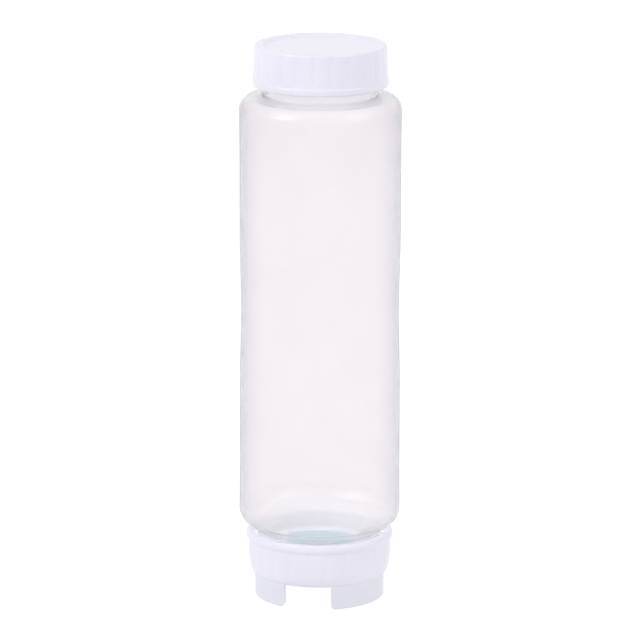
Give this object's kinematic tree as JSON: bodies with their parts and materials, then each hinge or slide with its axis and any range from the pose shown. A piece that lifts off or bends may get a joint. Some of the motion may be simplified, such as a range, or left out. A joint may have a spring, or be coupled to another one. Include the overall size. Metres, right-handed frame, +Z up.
{
  "type": "two-ended squeeze bottle with screw refill cap and flip-capped dispensing foot",
  "caption": "Tall translucent squeeze bottle that stands on its dispensing end: ribbed screw cap on top, ribbed collar with slit valve, notched foot ring and a flip cap below.",
  "frame": {"origin": "centre of the circle that the foot ring stands on", "axes": "+Z up along the bottle's axis, towards the refill cap; -Y is the front, where the foot's thumb notch is; +Y is the back, where the flip cap's hinge is; +X is to the right seen from the front"},
  "size_m": [0.0705, 0.0706, 0.2461],
  "materials": {
    "bottle": "soft translucent blown plastic",
    "white_cap": "satin white moulded plastic",
    "collar": "milky translucent moulded plastic",
    "flip_cap": "milky moulded plastic",
    "retainer": "milky moulded plastic",
    "membrane": "soft blue-green silicone",
    "seal": "pale silicone"
  },
  "bodies": {
    "base": {"dispensing_collar": "collar", "valve_membrane": "membrane", "valve_retainer": "retainer"},
    "outlet_seal": {"collar_gasket": "seal"},
    "bottle": {"bottle_body": "bottle"},
    "refill_seal": {"refill_cap_gasket": "seal"},
    "refill_cap": {"refill_cap": "white_cap"},
    "flip_cap": {"flip_cap": "flip_cap"}
  },
  "joints": [
    {"name": "bottle_rise", "type": "slide", "parent": "base", "child": "outlet_seal", "axis": [0, 0, 1], "range_m": [0, 0.01168]},
    {"name": "bottle_turn", "type": "hinge", "parent": "outlet_seal", "child": "bottle", "pos_m": [0, 0, 0.0246], "axis": [0, 0, 1], "range_deg": [0, 990]},
    {"name": "refill_cap_rise", "type": "slide", "parent": "bottle", "child": "refill_seal", "axis": [0, 0, 1], "range_m": [0, 0.0138]},
    {"name": "refill_cap_turn", "type": "hinge", "parent": "refill_seal", "child": "refill_cap", "pos_m": [0, 0, 0.2373], "axis": [0, 0, 1], "range_deg": [0, 1170]},
    {"name": "flip_cap_swing", "type": "hinge", "parent": "base", "child": "flip_cap", "pos_m": [0, 0.0256, 0.0132], "axis": [1, 0, 0], "range_deg": [0, 150]}
  ],
  "couplings": [
    {"joint": "bottle_rise", "follows": "bottle_turn", "m_per_rad": 0.00067482},
    {"joint": "refill_cap_rise", "follows": "refill_cap_turn", "m_per_rad": 0.00067482}
  ]
}
